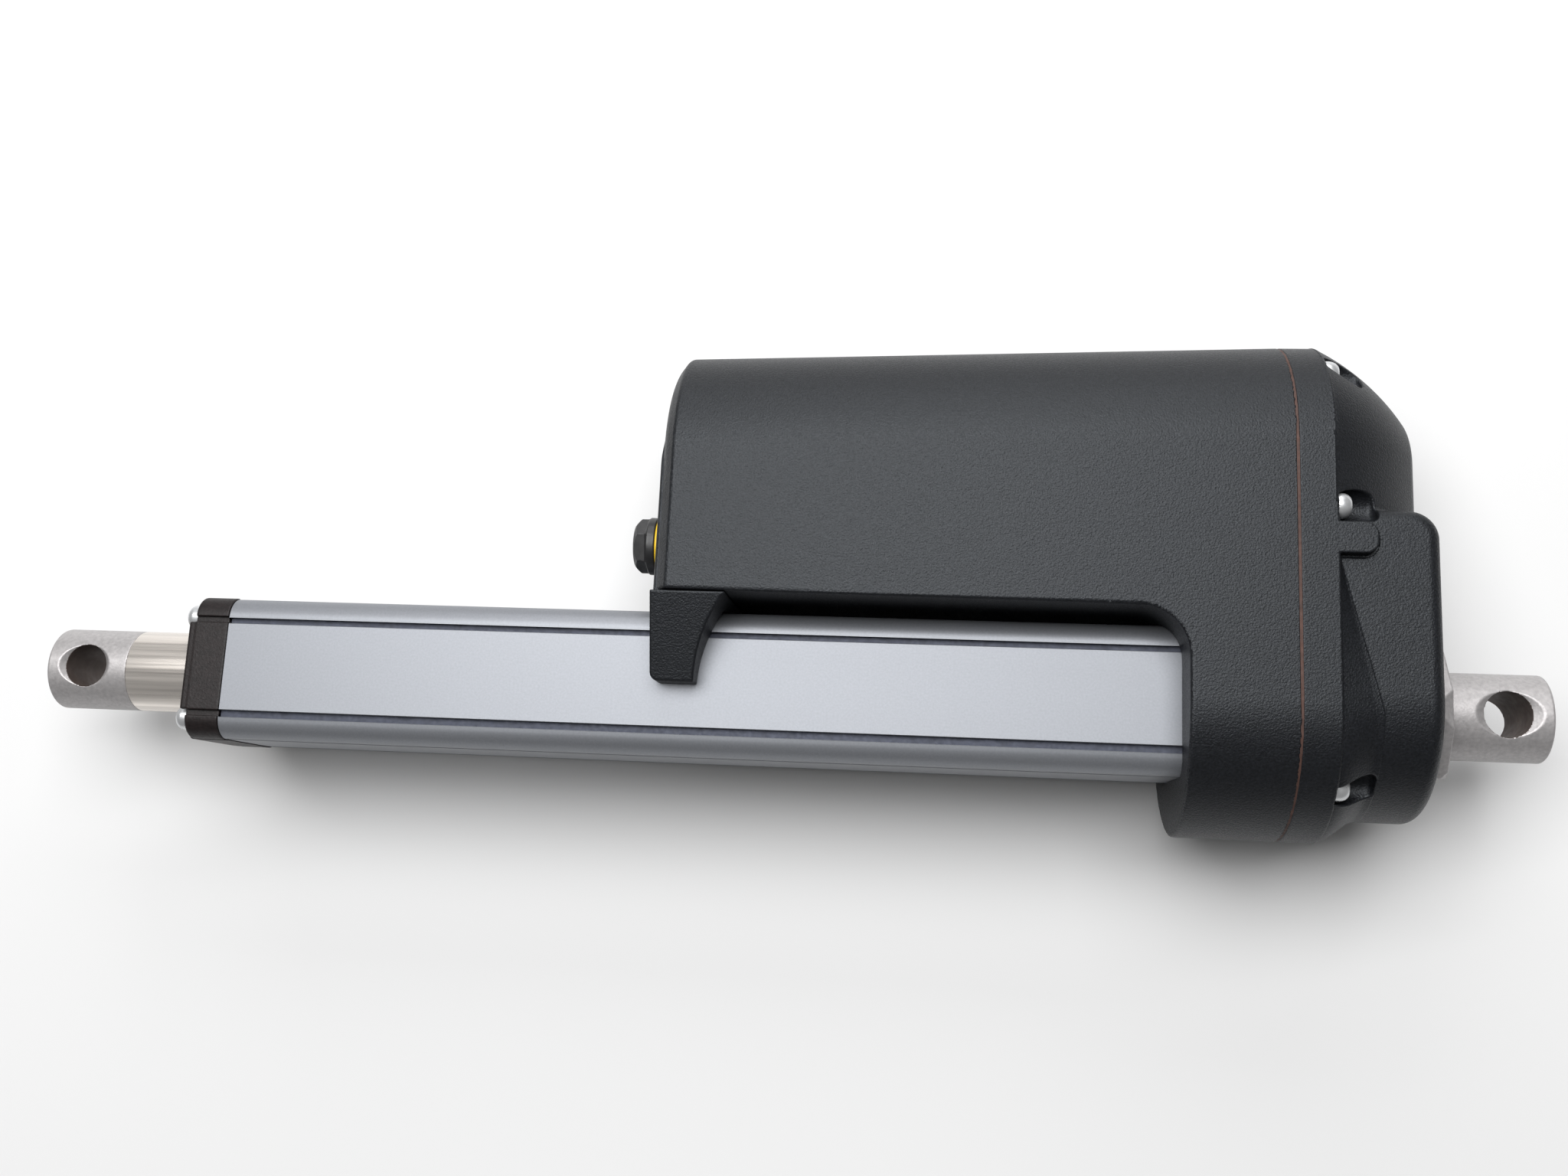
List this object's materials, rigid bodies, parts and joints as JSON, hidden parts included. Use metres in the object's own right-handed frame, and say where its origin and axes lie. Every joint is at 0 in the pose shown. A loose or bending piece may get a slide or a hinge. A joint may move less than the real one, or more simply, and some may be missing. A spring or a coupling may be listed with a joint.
{
  "type": "linear actuator",
  "caption": "Electric linear actuator: a rod with an eye slides out of a square tube, driven by a lead screw and a motor in a case beside the tube.",
  "frame": {"origin": "centre of the rear pin hole, on the rod axis", "axes": "+X to the rear along the rod axis (the rod extends towards -X), +Y from the rod axis to the motor axis, +Z along both pin holes"},
  "size_m": [0.444, 0.145, 0.073],
  "materials": {
    "case": "black powder coat with a fine texture",
    "gasket": "matt brown-red sheet",
    "zinc": "bright zinc plated",
    "eye_casting": "fine blasted steel",
    "anodised_tube": "satin anodised extrusion",
    "cap_casting": "dark brown-black coat",
    "seal_rubber": "matt black",
    "bush_plastic": "natural acetal",
    "black_steel": "black oxide",
    "black_nylon": "moulded black nylon",
    "yellow_seal": "matt yellow",
    "board": "green solder mask",
    "gear_plate": "machined casting",
    "bearing_steel": "ground steel",
    "screw_steel": "rolled steel, greased",
    "motor_steel": "zinc plated steel",
    "magnet": "dark ferrite",
    "phenolic": "moulded phenolic",
    "carbon": "carbon",
    "copper": "copper",
    "gear_steel": "cut gear steel",
    "gear_plastic": "cut acetal",
    "polished_rod": "polished stainless steel",
    "bronze": "bronze"
  },
  "bodies": {
    "housing": {"motor_housing": "case", "housing_gasket": "gasket", "rear_cover": "case", "cover_screws": "zinc", "rear_mount": "eye_casting", "outer_tube": "anodised_tube", "front_cap": "cap_casting", "cap_screws": "zinc", "wiper_seal": "seal_rubber", "guide_bush": "bush_plastic", "front_bracket": "case", "bracket_screws": "black_steel", "blanking_plug": "black_nylon", "plug_seal_ring": "yellow_seal", "power_inlet": "black_nylon", "inlet_seal_ring": "yellow_seal", "circuit_board": "board", "gear_plate": "gear_plate", "gear_plate_screws": "zinc", "motor_screws": "zinc", "spindle_front_bearing": "bearing_steel", "spindle_rear_bearing": "bearing_steel", "idler_axle": "bearing_steel", "motor_can": "motor_steel", "motor_magnets": "magnet", "motor_front_plate": "motor_steel", "motor_rear_plate": "motor_steel", "motor_bearings": "bearing_steel", "brush_holder": "phenolic", "brushes": "carbon"},
    "rotor": {"motor_shaft": "bearing_steel", "armature_core": "motor_steel", "armature_windings": "copper", "commutator": "copper", "motor_pinion": "gear_steel", "sensor_magnet": "magnet"},
    "idler": {"idler_gear": "gear_plastic", "idler_pinion": "gear_steel"},
    "spindle": {"lead_screw": "screw_steel", "screw_end_stop": "screw_steel", "spindle_gear": "gear_steel", "gear_lock_nut": "zinc"},
    "rod": {"inner_tube": "polished_rod", "rod_eye": "eye_casting", "drive_nut": "bronze", "nut_guide_ring": "bush_plastic"}
  },
  "joints": [
    {"name": "motor_spin", "type": "hinge", "parent": "housing", "child": "rotor", "pos_m": [-0.15, 0.07, 0], "axis": [1, 0, 0], "range_deg": [0, 134400]},
    {"name": "idler_spin", "type": "hinge", "parent": "housing", "child": "idler", "pos_m": [-0.06, 0.035, 0], "axis": [1, 0, 0], "range_deg": [-33601, 0]},
    {"name": "spindle_spin", "type": "hinge", "parent": "housing", "child": "spindle", "pos_m": [-0.06, 0, 0], "axis": [1, 0, 0], "range_deg": [0, 14400.1]},
    {"name": "rod_extend", "type": "slide", "parent": "housing", "child": "rod", "axis": [-1, 0, 0], "range_m": [0, 0.20001]}
  ],
  "couplings": [
    {"joint": "idler_spin", "follows": "motor_spin", "ratio": -0.25},
    {"joint": "spindle_spin", "follows": "motor_spin", "ratio": 0.10714},
    {"joint": "rod_extend", "follows": "motor_spin", "m_per_rad": 0.000085262}
  ]
}
